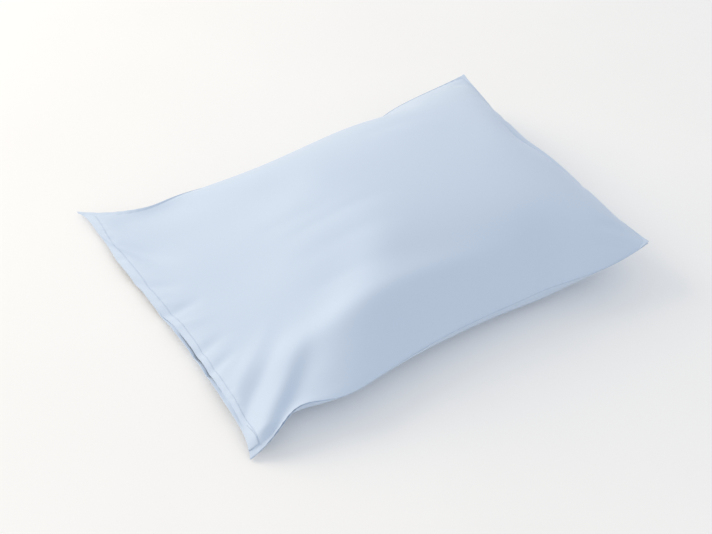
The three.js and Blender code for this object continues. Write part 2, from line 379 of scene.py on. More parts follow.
BLUE_THREAD = thread("case_thread", (0.56, 0.66, 0.80, 1), (0.47, 0.57, 0.72, 1))
WHITE_THREAD = thread("ticking_thread", (0.90, 0.90, 0.90, 1), (0.78, 0.78, 0.79, 1))
FIBRE = fibre()
TAPE = tape()
print("small finishes", [m.name for m in (BLUE_THREAD, WHITE_THREAD, FIBRE, TAPE)])


# %% Floor
def floor_finish():
    """Pale matt paper with a very faint mottle."""
    finish = Finish("pale_floor", Specular_IOR_Level=0.1)
    place = finish.node("ShaderNodeTexCoord").outputs["Object"]
    mottle = finish.noise(place, 3.0)
    colour = finish.mix(mottle, (0.90, 0.90, 0.90, 1), (0.94, 0.94, 0.94, 1))
    return finish.surface(colour, 0.85 + mottle * 0.05)


def level_square(name, reach):
    """A flat square at no height, which reaches as far from the middle on every side."""
    mesh = bpy.data.meshes.new(name)
    corners = [(x * reach, y * reach, 0) for x, y in ((-1, -1), (1, -1), (1, 1), (-1, 1))]
    mesh.from_pydata(corners, [], [(0, 1, 2, 3)])
    square = bpy.data.objects.new(name, mesh)
    scene.collection.objects.link(square)
    return square


FLOOR_REACH = 12.0
floor = level_square("floor", FLOOR_REACH)
floor.data.materials.append(floor_finish())
print("floor", FLOOR_REACH * 2, "m wide")

# %% [markdown]
# ## Filling the case by cloth simulation
#
# A filled case takes its shape from two flat sheets sewn together and pushed apart from inside.
# Its soft corners and limp mouth come from cloth that doesn't stretch, so the sheets are laid flat
# and Blender's cloth solver blows them up. The pressure is full over the pillow and dies away at
# the mouth, which leaves that end slack. The floor stops the sheets, and a few points at the
# middle of the lower sheet are pinned so that the case can't wander.

# %% Two flat sheets on one border
SIM_STEP = 0.012
SIM_CELLS = (round(CASE_FLAT[1] / SIM_STEP), round(CASE_FLAT[0] / SIM_STEP))
SIM_REST = 0.008
SIM_BULGE = 0.004


def quads(numbers, flip=False):
    """Faces of a grid of point numbers: one for each cell, turned over if flip is set."""
    corners = (numbers[:-1, :-1], numbers[1:, :-1], numbers[1:, 1:], numbers[:-1, 1:])
    cells = np.stack(corners, -1).reshape(-1, 4)
    return cells[:, ::-1] if flip else cells


def flat_sheets():
    """Both sheets as one mesh. They share the border, and each has its own inner points."""
    u = np.linspace(-1, 1, SIM_CELLS[0] + 1)
    v = np.linspace(-1, 1, SIM_CELLS[1] + 1)
    u, v = np.meshgrid(u, v, indexing="ij")
    bulge = SIM_BULGE * (1 - u**8) * (1 - v**8)
    flat = np.stack([u * HALF_LENGTH, v * HALF_WIDTH, np.full_like(u, SIM_REST)], -1)
    rise = np.stack([0 * u, 0 * u, bulge], -1)
    inside = (np.abs(u) < 1) & (np.abs(v) < 1)
    upper_numbers = np.arange(u.size).reshape(u.shape)
    lower_numbers = upper_numbers.copy()
    lower_numbers[inside] = u.size + np.arange(inside.sum())
    points = np.concatenate([(flat + rise).reshape(-1, 3), (flat - rise)[inside]])
    faces = np.concatenate([quads(upper_numbers), quads(lower_numbers, flip=True)])
    return points, faces, upper_numbers, lower_numbers


# %% How hard each point is pushed
PRESSURE = 2.7
PRESSURE_RAMP = 0.42
PRESSURE_FLOOR = 0.3
PIN_REACH = (0.10, 0.06)


def smooth(t):
    """0 below 0 and 1 above 1, with a smooth rise between."""
    t = np.clip(t, 0, 1)
    return t * t * (3 - 2 * t)


def pressure_share(points):
    """Rises smoothly from the mouth, and is strongest where the pillow is thickest."""
    along = np.clip(points[:, 0] / HALF_LENGTH, -1, 1)
    across = points[:, 1] / HALF_WIDTH
    thick = (1 - np.abs(along) ** 6) * (1 - np.abs(across) ** 3)
    ramp = smooth((points[:, 0] + HALF_LENGTH) / PRESSURE_RAMP)
    return ramp * (PRESSURE_FLOOR + (1 - PRESSURE_FLOOR) * thick)


# %% The solver
SIM_FRAMES = 50
SIM_CONTACT = 0.002
SIM_FRICTION = 5
SIM_FLOOR_REACH = 2
COTTON_CLOTH = {
    "quality": 8,
    "mass": 0.05,
    "tension_stiffness": 40,
    "compression_stiffness": 40,
    "shear_stiffness": 10,
    "bending_stiffness": 2.5,
    "tension_damping": 5,
    "compression_damping": 5,
    "shear_damping": 5,
    "bending_damping": 0.5,
    "use_pressure": True,
    "uniform_pressure_force": PRESSURE,
    "pressure_factor": 5,
    "vertex_group_pressure": "pushed",
    "vertex_group_mass": "pinned",
    "pin_stiffness": 1,
    "air_damping": 1,
}


def cloth_object(points, faces, lower_numbers):
    """The two sheets with their pressure and pin groups and the settings of a cotton case."""
    mesh = bpy.data.meshes.new("sim_case")
    mesh.from_pydata(points.tolist(), [], faces.tolist())
    case = bpy.data.objects.new("sim_case", mesh)
    scene.collection.objects.link(case)
    pushed = case.vertex_groups.new(name="pushed")
    for number, share in enumerate(pressure_share(points)):
        pushed.add([number], float(share), "REPLACE")
    pinned = case.vertex_groups.new(name="pinned")
    inner = lower_numbers[1:-1, 1:-1].ravel()
    near = (np.abs(points[inner, 0]) < PIN_REACH[0]) & (np.abs(points[inner, 1]) < PIN_REACH[1])
    pinned.add(inner[near].tolist(), 1.0, "REPLACE")
    cloth = case.modifiers.new("cloth", "CLOTH")
    for name, value in COTTON_CLOTH.items():
        setattr(cloth.settings, name, value)
    cloth.collision_settings.collision_quality = 3
    cloth.collision_settings.distance_min = SIM_CONTACT
    cloth.point_cache.frame_end = SIM_FRAMES
    return case


def simulate(points, faces, lower_numbers):
    """Runs the cloth on a colliding floor and returns where every point comes to rest."""
    slab = level_square("sim_floor", SIM_FLOOR_REACH)
    slab.modifiers.new("collision", "COLLISION")
    slab.collision.thickness_outer = SIM_CONTACT
    slab.collision.cloth_friction = SIM_FRICTION
    case = cloth_object(points, faces, lower_numbers)
    for step in range(1, SIM_FRAMES + 1):
        scene.frame_set(step)
    settled = case.evaluated_get(bpy.context.evaluated_depsgraph_get()).data
    rest = np.empty(len(points) * 3, np.float32)
    settled.vertices.foreach_get("co", rest)
    for thing in (case, slab):
        bpy.data.objects.remove(thing)
    scene.frame_set(1)
    return rest.reshape(-1, 3).astype(float)


points, faces, upper_numbers, lower_numbers = flat_sheets()
rest = simulate(points, faces, lower_numbers)
print("simulated points", len(points), "height", round(float(rest[:, 2].max()), 4))

# %% [markdown]
# ## Tidying the simulated sheets
#
# The solver lets the two sheets pass through each other where the case is empty, because testing
# them against each other would take minutes. It also leaves sharper folds than soft percale
# keeps, and a hollow between the lips and the pillow. So the sheets are softened, by averaging
# each point with its neighbours. The upper one is bridged: drawn tight from its lip up to the
# pillow. Both are aligned, one over the other, at the mouth, and softened again. Last they are
# parted: the upper one is put above the lower one wherever they had crossed.

# %% Softened, bridged, aligned and parted sheets
SOFTENING = 3
CROWN_SOFTENING = 5
LEAST_PARTING = 0.0015
PARTING_REACH = 0.03


def averaged(line):
    """Each inner row mixed with the rows before and after it: a quarter, a half, a quarter."""
    mixed = line.copy()
    mixed[1:-1] = (line[:-2] + 2 * line[1:-1] + line[2:]) / 4
    return mixed


def softened(grid, times):
    """Averages both ways inside, and only along the border on the border, so seams still meet."""
    for _ in range(times):
        mixed = averaged(averaged(grid).swapaxes(0, 1)).swapaxes(0, 1)
        for row in (0, -1):
            mixed[row] = averaged(grid[row])
            mixed[:, row] = averaged(grid[:, row])
        grid = mixed
    return grid


def parted(upper, lower):
    """Keeps the middle, and makes the height between the sheets positive with a smooth root."""
    u = np.linspace(-1, 1, upper.shape[0])[:, None]
    v = np.linspace(-1, 1, upper.shape[1])[None, :]
    edge = np.minimum((1 - np.abs(u)) * HALF_LENGTH, (1 - np.abs(v)) * HALF_WIDTH)
    least = LEAST_PARTING * smooth(edge / PARTING_REACH)
    middle = (upper + lower) / 2
    half = (upper - lower) / 2
    half[..., 2] = np.sqrt(half[..., 2] ** 2 + least**2)
    return middle + half, middle - half


# Where the bridge and the aligning end, as shares of the case's length, then lengths in metres.
BRIDGE_END = 0.36
ALIGNED_END = 0.468
BRIDGE_SAG = 0.004
BRIDGE_EASE = 0.012


def bridged(upper):
    """Lifts the upper sheet to a line from each lip point up to the pillow, less a small sag."""
    rows = round(BRIDGE_END * (upper.shape[0] - 1))
    t = np.linspace(0, 1, rows + 1)[:, None]
    lip, shoulder = upper[0, :, 2], upper[rows, :, 2]
    line = lip + (shoulder - lip) * t - BRIDGE_SAG * np.sin(math.pi * t)
    rise = upper[: rows + 1, :, 2] - line
    raised = upper.copy()
    raised[: rows + 1, :, 2] = line + (rise + np.sqrt(rise**2 + BRIDGE_EASE**2 * t * (1 - t))) / 2
    return raised


def aligned(upper, lower):
    """Brings the sheets over each other at the mouth: both take their middle's place in plan."""
    share = 1 - smooth(np.linspace(0, 1, upper.shape[0]) / ALIGNED_END)[:, None, None]
    middle = (upper[..., :2] + lower[..., :2]) / 2
    pair = [sheet.copy() for sheet in (upper, lower)]
    for sheet in pair:
        sheet[..., :2] += share * (middle - sheet[..., :2])
    return pair


UPPER, LOWER = softened(rest[upper_numbers], SOFTENING), softened(rest[lower_numbers], SOFTENING)
UPPER, LOWER = aligned(bridged(UPPER), LOWER)
UPPER, LOWER = parted(softened(UPPER, CROWN_SOFTENING), softened(LOWER, CROWN_SOFTENING))
print("least height between the sheets", round(float((UPPER - LOWER)[1:-1, 1:-1, 2].min()), 5))

# %% [markdown]
# ## From the coarse sheets to fine surfaces
#
# The solver's grid is coarse, because its time grows with every point. A cubic spline through
# the grid gives a smooth surface that can be read at any place of the flat cloth, so each later
# piece chooses its own points: crowded at seams and hems, and wide apart between them. The same
# reading also eases the outline, as hands do when they straighten a case on a bed: each side
# moves by a smooth curve, which fades out towards the opposite side.


# %% Reading the cloth anywhere
def spline_rows(place, low, high, count):
    """Weights of a uniform cubic spline: one row for each place, one column for each point."""
    t = (np.asarray(place, float) - low) / (high - low) * (count - 1)
    cell = np.clip(np.floor(t).astype(int), 0, count - 2)
    f = t - cell
    weights = (
        (1 - f) ** 3 / 6,
        (3 * f**3 - 6 * f**2 + 4) / 6,
        (-3 * f**3 + 3 * f**2 + 3 * f + 1) / 6,
        f**3 / 6,
    )
    rows = np.zeros((len(t), count + 2))
    numbers = np.arange(len(t))
    for k, weight in enumerate(weights):
        rows[numbers, cell + k] += weight
    inner = rows[:, 1:-1].copy()
    inner[:, 0] += 2 * rows[:, 0]
    inner[:, 1] -= rows[:, 0]
    inner[:, -1] += 2 * rows[:, -1]
    inner[:, -2] -= rows[:, -1]
    return inner


def bend_curve(t, pulls):
    """A Bezier number: the pulls blended by Bernstein's weights as t goes from 0 to 1."""
    last = len(pulls) - 1
    return sum(math.comb(last, k) * t**k * (1 - t) ** (last - k) * w for k, w in enumerate(pulls))


# How far each side is eased along its length, in metres. The long sides move along Y and run
# from the mouth to the closed end. The short ones move along X and run from the near side. The
# values come from a fit to a real case's outline, not from round sizes, so they are uneven.
FAR_SIDE_EASE = (0.0356, -0.0765, -0.0464, 0.0549, 0.0165, 0.0086)
NEAR_SIDE_EASE = (0.0155, -0.0621, 0.0682, 0.0082, -0.0212, 0.0246)
MOUTH_EASE = (0.001, -0.0118, 0.0437, -0.0236, -0.0004)
CLOSED_END_EASE = (-0.0254, 0.0005, 0.0182, 0.0058, -0.009)
CROWN_SCALE = 0.984
CROWN_TILT = 0.051


def eased(surface, x, y):
    """Moves each side by its curve, fading with the square or cube of the distance from it."""
    along = (x[:, None] / HALF_LENGTH + 1) / 2
    across = (y[None, :] / HALF_WIDTH + 1) / 2
    moved = surface.copy()
    moved[..., 1] += bend_curve(along, FAR_SIDE_EASE) * across**2
    moved[..., 1] += bend_curve(along, NEAR_SIDE_EASE) * (1 - across) ** 2
    moved[..., 0] += bend_curve(across, MOUTH_EASE) * (1 - along) ** 3
    moved[..., 0] += bend_curve(across, CLOSED_END_EASE) * along**3
    moved[..., 2] *= CROWN_SCALE * (1 + CROWN_TILT * (2 * along - 1))
    return moved


def read_sheet(grid, x, y):
    """The eased surface of a sheet at flat places x by y, before it is set down."""
    rows = spline_rows(x, -HALF_LENGTH, HALF_LENGTH, grid.shape[0])
    columns = spline_rows(y, -HALF_WIDTH, HALF_WIDTH, grid.shape[1])
    fine = np.einsum("ia,abk,jb->ijk", rows, grid, columns)
    return eased(fine, np.asarray(x, float), np.asarray(y, float))


# %% Setting the case down
# The least heights of the lower panel's face and of the upper panel's face.
FLOOR_GAP = 0.0002
UPPER_GAP = 0.001


def set_down_by():
    """What moves the case onto the floor and centres it in the frame's box."""
    x = np.linspace(-HALF_LENGTH, HALF_LENGTH, 120)
    y = np.linspace(-HALF_WIDTH, HALF_WIDTH, 80)
    cloud = np.concatenate([read_sheet(g, x, y).reshape(-1, 3) for g in (UPPER, LOWER)])
    low, high = cloud.min(0), cloud.max(0)
    return np.array([-(low[0] + high[0]) / 2, -(low[1] + high[1]) / 2, FLOOR_GAP - low[2]])


SET_DOWN = set_down_by()
print("set down by", SET_DOWN.round(4))

# %% [markdown]
# ## Seams, lips and hem in the cloth
#
# Where two panels are sewn and turned, the stitches draw the edge in: a shallow valley runs
# beside the seam, and small puckers cross it. At the mouth each lip is turned in and stitched
# down, so a band as wide as the hem stands a little proud and ends in the groove of its stitches.
# That relief is added to the smooth surface along its normals, in flat-cloth distances. The lips
# lie slightly apart, and the upper one has slipped back from the lower one.

# %% Seam and lip sizes
SEAM_VALLEY = 0.0009
SEAM_REACH = 0.007
SEAM_SET_IN = 0.002
PUCKER_HEIGHT = 0.00035
PUCKER_LENGTH = 0.015
PUCKER_REACH = 0.0112
HEM_WIDTH = 0.011
HEM_RISE = 0.0003
HEM_GROOVE = 0.0003
HEM_GROOVE_REACH = 0.0012
HEM_EDGE = 0.001
HEM_FADE = 0.02
HEM_PUCKERS = 1.2
LIP_PARTING = 0.0009
LIP_SLIP = 0.005
LIP_REACH = 0.07
LIP_FADE = 0.09


def kept(x, y):
    """The shares of its flat length and width that the lower panel keeps over a patch."""
    patch = read_sheet(LOWER, x, y)
    along = np.linalg.norm(np.diff(patch, axis=0), axis=-1).sum(0).mean() / (x[-1] - x[0])
    across = np.linalg.norm(np.diff(patch, axis=1), axis=-1).sum(1).mean() / (y[-1] - y[0])
    return float(along), float(across)


MOUTH_CROWDING, _ = kept(np.linspace(0, 0.02, 9) - HALF_LENGTH, np.linspace(-0.2, 0.2, 30))
HEM_REACH = HEM_WIDTH / MOUTH_CROWDING
print("cloth kept beside the mouth", round(MOUTH_CROWDING, 3))


def unit(vectors):
    """Each vector divided by its length."""
    return vectors / np.maximum(np.linalg.norm(vectors, axis=-1, keepdims=True), 1e-12)


def normals(surface):
    """Unit normals of a grid: the cross product of its two directions."""
    return unit(np.cross(np.gradient(surface, axis=0), np.gradient(surface, axis=1)))


def bell(distance, reach):
    """1 at no distance, falling smoothly to nothing past the reach."""
    return np.exp(-((distance / reach) ** 2))


def puckers(distance, along):
    """Small waves across a seam, of uneven length and height, dying away from it."""
    wander = 1.7 * np.sin(along * 23.0) + 1.1 * np.sin(along * 51.0 + 2.0)
    uneven = 0.55 + 0.45 * np.sin(along * 37.0 + 1.0)
    wave = np.sin(along * TURN / PUCKER_LENGTH + wander)
    return PUCKER_HEIGHT * uneven * wave * bell(distance, PUCKER_REACH)


def edge_distances(x, y):
    """Flat distances of a grid of places from the mouth, the closed end and the two sides."""
    along, across = np.meshgrid(x, y, indexing="ij")
    return along + HALF_LENGTH, HALF_LENGTH - along, HALF_WIDTH - np.abs(across)


def sewn_relief(x, y):
    """Height added along the normal by the seams on three sides and by the mouth's hem."""
    from_mouth, from_end, from_side = edge_distances(x, y)
    along, across = np.meshgrid(x, y, indexing="ij")
    sides = bell(from_side - SEAM_SET_IN, SEAM_REACH)
    relief = -SEAM_VALLEY * (sides + bell(from_end, SEAM_REACH))
    relief += puckers(from_side, along) + puckers(from_end, across)
    band = 1 - smooth((from_mouth - HEM_REACH + HEM_EDGE) / (2 * HEM_EDGE))
    groove = bell(from_mouth - HEM_REACH, HEM_GROOVE_REACH)
    stitched = smooth(from_side / HEM_FADE)
    relief += stitched * (HEM_RISE * band - HEM_GROOVE * groove)
    relief += stitched * puckers(from_mouth - HEM_REACH, across) * HEM_PUCKERS
    return relief


# %% Soft folds
# Each fold runs between two flat places, with a width and a height, in metres. A height below
# nothing is a valley. They fan out from the mouth, drag along the crown, and gather at the
# closed end, where the pillow's stiff corners push into the case.
MOUTH_FOLDS = (
    ((-0.400, 0.225), (-0.290, 0.085), 0.015, -0.0070),
    ((-0.390, 0.132), (-0.350, 0.134), 0.004, -0.0016),
    ((-0.400, 0.094), (-0.310, 0.044), 0.009, -0.0040),
    ((-0.400, 0.014), (-0.300, 0.013), 0.008, -0.0040),
    ((-0.400, -0.010), (-0.300, -0.020), 0.008, 0.0020),
    ((-0.400, -0.074), (-0.300, -0.056), 0.008, -0.0034),
    ((-0.400, -0.110), (-0.300, -0.086), 0.007, -0.0034),
    ((-0.390, -0.180), (-0.240, -0.065), 0.011, 0.0026),
    ((-0.390, -0.212), (-0.240, -0.095), 0.010, -0.0030),
)
CROWN_FOLDS = (
    ((-0.395, -0.268), (-0.215, -0.112), 0.022, 0.0120),
    ((-0.400, -0.125), (0.220, -0.195), 0.028, 0.0095),
    ((-0.210, 0.060), (-0.040, 0.008), 0.013, -0.0013),
    ((-0.190, 0.022), (0.030, -0.024), 0.012, -0.0014),
    ((-0.200, -0.020), (0.015, -0.070), 0.014, -0.0013),
    ((-0.210, -0.074), (0.010, -0.130), 0.014, -0.0012),
    ((0.020, 0.120), (0.200, 0.090), 0.014, -0.0010),
)
CLOSED_END_FOLDS = (
    ((0.336, 0.140), (0.340, -0.210), 0.024, 0.0120),
    ((0.282, 0.085), (0.336, -0.125), 0.011, -0.0070),
    ((0.270, -0.178), (0.372, -0.232), 0.008, -0.0030),
    ((0.245, -0.200), (0.350, -0.247), 0.006, -0.0022),
    ((0.290, 0.200), (0.372, 0.236), 0.008, -0.0022),
    ((0.300, 0.080), (0.378, 0.100), 0.008, -0.0016),
    ((0.300, -0.100), (0.378, -0.118), 0.009, -0.0018),
)
FOLD_ENDS = (0.3, 0.5)
FOLD_SHARE = 0.7
SEAM_CALM = 0.03
EMPTY_END = 0.05
EMPTY_FADE = 0.06


def fold_heights(x, y):
    """Each fold is a bell across its line, and dies away towards both of its ends."""
    height = np.zeros((len(x), len(y)))
    for start, end, width, rise in MOUTH_FOLDS + CROWN_FOLDS + CLOSED_END_FOLDS:
        way = np.subtract(end, start)
        length = np.hypot(*way)
        way = way / length
        dx, dy = x[:, None] - start[0], y[None, :] - start[1]
        along = (dx * way[0] + dy * way[1]) / length
        across = dx * way[1] - dy * way[0]
        ends = smooth(along / FOLD_ENDS[0]) * smooth((1 - along) / FOLD_ENDS[1])
        height += rise * bell(across, width) * ends
    return height


def held_valleys(height, gap):
    """Holds a valley to a share of the gap, so that it never reaches the lower panel."""
    return height / (1 + np.maximum(-height, 0) / (FOLD_SHARE * np.maximum(gap, 0) + 1e-6))


def folded(x, y):
    """Both panels with their folds, each above the floor and the upper one above the lower.

    Where the case is empty its two panels fold together. Over the pillow only the upper one does.
    """
    upper, lower = (read_sheet(grid, x, y) + SET_DOWN for grid in (UPPER, LOWER))
    height = fold_heights(x, y) * smooth((HALF_WIDTH - np.abs(y)) / SEAM_CALM)[None, :]
    empty = 1 - smooth((x + HALF_LENGTH - EMPTY_END) / EMPTY_FADE)[:, None]
    gap = upper[..., 2] - lower[..., 2]
    lower[..., 2] = np.maximum(lower[..., 2] + height * empty, FLOOR_GAP)
    upper[..., 2] += height * empty + held_valleys(height * (1 - empty), gap)
    upper[..., 2] = np.maximum(upper[..., 2], lower[..., 2] + np.minimum(gap, LEAST_PARTING))
    return upper, lower


# %% The case's two outer surfaces
def lip_moves(x, y):
    """How the upper lip parts from the lower one: up, and back from the mouth on one side."""
    from_mouth, _, from_side = edge_distances(x, y)
    across = y[None, :] / HALF_WIDTH + 0 * x[:, None]
    near_mouth = 1 - smooth(from_mouth / LIP_REACH)
    opening = 1 - np.abs(across) ** 3
    slip = LIP_SLIP * smooth((0.25 - across) / 0.4) * smooth(from_side / LIP_FADE)
    return np.stack([slip * near_mouth, 0 * across, LIP_PARTING * opening * near_mouth], -1)


def case_surface(x, y, side, relief=True):
    """The outer face of the upper (side 1) or lower (side -1) panel at flat places x by y."""
    x, y = np.asarray(x, float), np.asarray(y, float)
    upper, lower = folded(x, y)
    surface = upper + lip_moves(x, y) if side > 0 else lower
    if relief:
        surface += side * sewn_relief(x, y)[..., None] * normals(surface)
    surface[..., 2] = np.maximum(surface[..., 2], UPPER_GAP if side > 0 else FLOOR_GAP)
    return surface


EDGE_STEPS = np.array([0, 0.0012, 0.0024, 0.004, 0.006, 0.0085, 0.0105, 0.0125, 0.015])


def crowded(length, step):
    """Places from one edge of a cloth to the other: close together near both, even between."""
    last = EDGE_STEPS[-1]
    middle = np.linspace(last, length - last, round((length - 2 * last) / step) + 1)[1:-1]
    return np.concatenate([EDGE_STEPS, middle, length - EDGE_STEPS[::-1]]) - length / 2


FINE_STEP = 0.0038
HEM_STEPS = np.array([-0.0022, -0.0012, -0.0005, 0.0, 0.0005, 0.0012, 0.0022]) + HEM_REACH
case_x = crowded(CASE_FLAT[1], FINE_STEP)
case_x = np.unique(np.concatenate([case_x, HEM_STEPS - HALF_LENGTH]).round(5))
case_y = crowded(CASE_FLAT[0], FINE_STEP)
print("panel grid", len(case_x), "by", len(case_y))

# %% [markdown]
# ## Making pieces of grids
#
# A cloth is one grid of points with a Solidify modifier for its ply, and a thick layer is two
# grids with walls between their borders. Both keep their flat-cloth places as a UV map, which
# the woven finishes read.


# %% Cloth and layer makers
def finished_mesh(name, points, faces, flat, material):
    """A smooth-shaded object at the origin, with flat-cloth places for its UV map."""
    mesh = bpy.data.meshes.new(name)
    mesh.from_pydata(points.reshape(-1, 3).tolist(), [], [list(f) for f in faces])
    mesh.update()
    mesh.polygons.foreach_set("use_smooth", np.ones(len(mesh.polygons), bool))
    layer = mesh.uv_layers.new(name=FLAT_MAP)
    corners = np.empty(len(mesh.loops), np.int32)
    mesh.loops.foreach_get("vertex_index", corners)
    layer.data.foreach_set("uv", flat.reshape(-1, 2)[corners].astype(np.float32).ravel())
    mesh.materials.append(material)
    thing = bpy.data.objects.new(name, mesh)
    scene.collection.objects.link(thing)
    return thing


def flat_places(x, y):
    """The flat-cloth place of each point of a grid, moved by a metre to keep it above nothing."""
    return np.stack(np.meshgrid(x, y, indexing="ij"), -1) + 1.0


def cloth_piece(name, surface, places, material, ply, flip=False):
    """A grid of cloth that faces outwards, with its ply on the inside."""
    numbers = np.arange(surface.shape[0] * surface.shape[1]).reshape(surface.shape[:2])
    piece = finished_mesh(name, surface, quads(numbers, flip), places, material)
    solid = piece.modifiers.new("ply", "SOLIDIFY")
    solid.thickness = ply
    solid.offset = -1
    solid.use_even_offset = False
    return piece


def border(numbers):
    """The point numbers round a grid's border, in order."""
    sides = (numbers[:-1, 0], numbers[-1, :-1], numbers[:0:-1, -1], numbers[0, :0:-1])
    return np.concatenate(sides)


def layer_faces(numbers, offset):
    """Faces of a closed layer whose lower grid's numbers start at an offset after the upper's."""
    rim = border(numbers)
    after = np.roll(rim, -1)
    walls = np.stack([rim + offset, after + offset, after, rim], -1)
    return np.concatenate([quads(numbers), quads(numbers + offset, flip=True), walls])


def layer_piece(name, layers, material):
    """One object of closed layers. Each is its upper grid, its lower grid and its flat places."""
    points, faces, flat, start = [], [], [], 0
    for upper, lower, places in layers:
        count = upper.shape[0] * upper.shape[1]
        numbers = np.arange(count).reshape(upper.shape[:2])
        faces.append(layer_faces(numbers, count) + start)
        points += [upper.reshape(-1, 3), lower.reshape(-1, 3)]
        flat += [places.reshape(-1, 2)] * 2
        start += 2 * count
    return finished_mesh(
        name, np.concatenate(points), np.concatenate(faces), np.concatenate(flat), material
    )


def report(piece):
    """Prints a piece's size and its number of faces."""
    co = np.empty(len(piece.data.vertices) * 3, np.float32)
    piece.data.vertices.foreach_get("co", co)
    co = co.reshape(-1, 3)
    size = (co.max(0) - co.min(0)).round(4).tolist()
    print(piece.name, "size", size, "faces", len(piece.data.polygons))
    return piece


# %% [markdown]
# ## The pillowcase
#
# Two panels of the same cut are sewn together on three sides and left open at the mouth. Each is
# a sheet of its own.

# %% Panels
case_places = flat_places(case_x, case_y)


def case_panel(name, side):
    """The upper (side 1) or lower (side -1) panel of the case."""
    surface = case_surface(case_x, case_y, side)
    return cloth_piece(name, surface, case_places, COTTON, CASE_PLY, flip=side < 0)


case_top = report(case_panel("case_top_cloth", 1))
case_bottom = report(case_panel("case_bottom_cloth", -1))

# %% [markdown]
# ## Hem, stitches, seam allowance and size tab
#
# The hem is each lip's cloth turned to the inside: a rolled edge and a flat ply behind it. Its
# stitches are short threads that dip in at both ends, one every three millimetres. The seam
# allowances are the cut edges of both panels, standing inside the case beside the seams. A tab of
# blank woven tape is caught under the lower hem.

# %% Hem bands
HEM_PLY = 0.0003
HEM_END_GAP = 0.012
HEM_FLAT = (0.012, CASE_FLAT[0] - 2 * HEM_END_GAP)
# The band's section, from the panel's edge round the fold to the turned ply's inner edge: how far
# in from the lip, and how far outside (+) or inside (-) the panel's outer face, in millimetres.
HEM_INWARD = np.array([0, -0.4, -0.65, -0.6, -0.2, 2, 5, 8, 10.5, 12]) / 1000
HEM_OUTSIDE = np.array([-0.1, -0.2, -0.5, -0.85, -1.1, -1.2, -1.25, -1.2, -1.25, -1.2]) / 1000
hem_y = case_y[(case_y > -HALF_WIDTH + HEM_END_GAP) & (case_y < HALF_WIDTH - HEM_END_GAP)]


def hem_band(name, side):
    """A strip carried along a lip: each point of its section stands off the panel's face."""
    inward = np.maximum(HEM_INWARD, 0) / MOUTH_CROWDING
    beyond = np.minimum(HEM_INWARD, 0)
    lip = case_surface(np.array([0.0, 0.004]) - HALF_LENGTH, hem_y, side)
    outwards = unit(lip[0] - lip[1])
    at = np.unique(inward)
    face = case_surface(at - HALF_LENGTH, hem_y, side)[np.searchsorted(at, inward)]
    band = case_surface(np.linspace(0, HEM_FLAT[0], 5) - HALF_LENGTH, hem_y, side)
    up = side * normals(band)[2]
    strip = face - beyond[:, None, None] * outwards + HEM_OUTSIDE[:, None, None] * up
    places = flat_places(inward + beyond, hem_y)
    return cloth_piece(name, strip, places, COTTON, HEM_PLY, flip=side > 0)


hem_top = report(hem_band("mouth_hem_top_cloth", 1))
hem_bottom = report(hem_band("mouth_hem_bottom_cloth", -1))


# %% Rows of stitches
STITCH_LENGTH = 0.0024
STITCH_PITCH = 0.003
STITCH_RADIUS = 0.00022


def stitches(name, centres, along, up, material, length=STITCH_LENGTH, radius=STITCH_RADIUS):
    """Threads shaped like grains: rings of six points about a line that bows upwards.

    A ring's radius is the square root of 1 minus its place squared, and its height above the
    cloth is a share of the same number, so both ends dip in.
    """
    ring_at = np.array([-0.97, -0.6, 0.0, 0.6, 0.97])
    turn = np.arange(6) / 6 * TURN
    swell = np.sqrt(1 - ring_at**2)
    aside = np.cross(along, up)
    line = centres[:, None] + along[:, None] * ring_at[None, :, None] * length / 2
    line = line + up[:, None] * (swell * radius * 0.9)[None, :, None]
    ring = aside[:, None, None] * np.cos(turn)[None, None, :, None]
    ring = ring + up[:, None, None] * np.sin(turn)[None, None, :, None]
    points = line[:, :, None] + ring * (swell * radius)[None, :, None, None]
    count = len(ring_at) * 6
    numbers = np.arange(count).reshape(len(ring_at), 6)
    around = np.concatenate([numbers, numbers[:, :1]], 1)
    faces = quads(around).tolist() + [numbers[0, ::-1].tolist(), numbers[-1].tolist()]
    all_faces = [[n + k * count for n in face] for k in range(len(centres)) for face in faces]
    flat = np.zeros((len(centres) * count, 2))
    return finished_mesh(name, points, all_faces, flat, material)


def row_on(surface, pitch):
    """Even steps along the middle row of a narrow grid: places, directions and normals."""
    line = surface[1]
    steps = np.linalg.norm(np.diff(line, axis=0), axis=1)
    run = np.concatenate([[0], np.cumsum(steps)])
    at = np.arange(pitch, run[-1] - pitch, pitch)
    up = normals(surface)[1]
    centres, ups = (np.stack([np.interp(at, run, a[:, i]) for i in range(3)], -1) for a in (line, up))
    return centres, unit(np.gradient(centres, axis=0)), unit(ups)


def hem_stitches(name, side):
    """The row that holds a hem: on the outer face of its lip."""
    x = HEM_REACH + np.array([-0.001, 0.0, 0.001]) - HALF_LENGTH
    centres, along, up = row_on(case_surface(x, hem_y, side), STITCH_PITCH)
    up = side * up
    lift = 0.0001 if side > 0 else -0.0003
    return stitches(name, centres + up * lift, along, up, BLUE_THREAD)


hem_stitching_top = report(hem_stitches("hem_stitching_top_thread", 1))
hem_stitching_bottom = report(hem_stitches("hem_stitching_bottom_thread", -1))


# %% Seam allowance of the case
ALLOWANCE = (0.002, 0.010)
ALLOWANCE_PLY = 0.0006


def between(x, y):
    """The surface midway between the two panels."""
    lower = case_surface(x, y, -1, relief=False)
    return lower + 0.5 * (case_surface(x, y, 1, relief=False) - lower)


def flat_strip(x, y, ply):
    """A closed thin layer on the surface midway between the panels."""
    middle = between(x, y)
    half = normals(middle) * ply / 2
    return middle + half, middle - half, flat_places(x, y)


